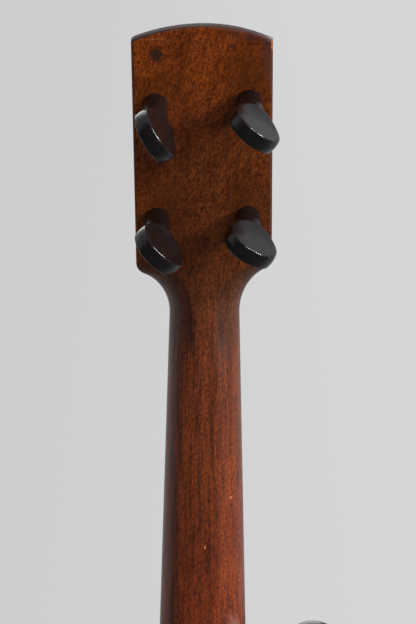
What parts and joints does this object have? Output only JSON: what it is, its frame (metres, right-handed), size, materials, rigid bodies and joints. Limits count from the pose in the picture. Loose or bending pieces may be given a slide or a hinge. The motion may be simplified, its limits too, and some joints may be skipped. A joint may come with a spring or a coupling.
{
  "type": "fretless banjo",
  "caption": "Long-necked banjo with a smooth fingerboard, raked peghead with oval friction pegs, and a skin-headed open-backed wooden pot.",
  "frame": {"origin": "on the neck's centre line under the peghead's shoulders, where a wall hanger's yoke carries the instrument", "axes": "+Z along the neck to the peghead, -Y out of the playing side, +X to the treble side"},
  "size_m": [0.3216, 0.0991, 0.9459],
  "materials": {
    "neck_wood": "satin red-brown varnish over open grain",
    "dark_veneer": "satin dark-stained veneer",
    "ebonised_wood": "near-black satin",
    "bone": "polished bone",
    "gut": "amber gut, slightly glossy",
    "rim_wood": "satin brown varnish",
    "calfskin": "matte translucent skin",
    "brass": "aged satin brass",
    "maple": "bare, lightly oiled"
  },
  "bodies": {
    "instrument": {"neck": "neck_wood", "fingerboard": "dark_veneer", "peghead_veneer": "dark_veneer", "nut": "bone", "fifth_string_nut": "bone", "rim": "rim_wood", "skin_head": "calfskin", "flesh_hoop": "maple", "tension_hoop": "brass", "dowel_stick": "rim_wood", "dowel_wedge": "maple", "end_pin": "ebonised_wood", "bridge": "maple", "tailpiece": "ebonised_wood", "tail_gut": "gut", "string_1": "gut", "string_2": "gut", "string_3": "gut", "string_4": "gut", "string_5": "gut", "bracket_shoe_1": "brass", "bracket_bolt_1": "brass", "tension_hook_1": "brass", "hook_nut_1": "brass", "bracket_shoe_2": "brass", "bracket_bolt_2": "brass", "tension_hook_2": "brass", "hook_nut_2": "brass", "bracket_shoe_3": "brass", "bracket_bolt_3": "brass", "tension_hook_3": "brass", "hook_nut_3": "brass", "bracket_shoe_4": "brass", "bracket_bolt_4": "brass", "tension_hook_4": "brass", "hook_nut_4": "brass", "bracket_shoe_5": "brass", "bracket_bolt_5": "brass", "tension_hook_5": "brass", "hook_nut_5": "brass", "bracket_shoe_6": "brass", "bracket_bolt_6": "brass", "tension_hook_6": "brass", "hook_nut_6": "brass"},
    "peg_1_body": {"peg_1": "ebonised_wood", "string_1_winding": "gut"},
    "peg_2_body": {"peg_2": "ebonised_wood", "string_2_winding": "gut"},
    "peg_3_body": {"peg_3": "ebonised_wood", "string_3_winding": "gut"},
    "peg_4_body": {"peg_4": "ebonised_wood", "string_4_winding": "gut"},
    "peg_5_body": {"peg_5": "ebonised_wood", "string_5_winding": "gut"}
  },
  "joints": [
    {"name": "peg_1_turn", "type": "hinge", "parent": "instrument", "child": "peg_1_body", "pos_m": [0.0225, 0.025, 0.0403], "axis": [-0.0314, 0.9608, -0.2755], "continuous": true},
    {"name": "peg_2_turn", "type": "hinge", "parent": "instrument", "child": "peg_2_body", "pos_m": [0.0231, 0.04192, 0.09932], "axis": [-0.0157, 0.9611, -0.2756], "continuous": true},
    {"name": "peg_3_turn", "type": "hinge", "parent": "instrument", "child": "peg_3_body", "pos_m": [-0.0214, 0.04247, 0.10123], "axis": [-0.0663, 0.9591, -0.275], "continuous": true},
    {"name": "peg_4_turn", "type": "hinge", "parent": "instrument", "child": "peg_4_body", "pos_m": [-0.021, 0.0253, 0.04135], "axis": [-0.0314, 0.9608, -0.2755], "continuous": true},
    {"name": "peg_5_turn", "type": "hinge", "parent": "instrument", "child": "peg_5_body", "pos_m": [-0.0228, 0.004, -0.1825], "axis": [-1, 0, 0], "continuous": true}
  ]
}
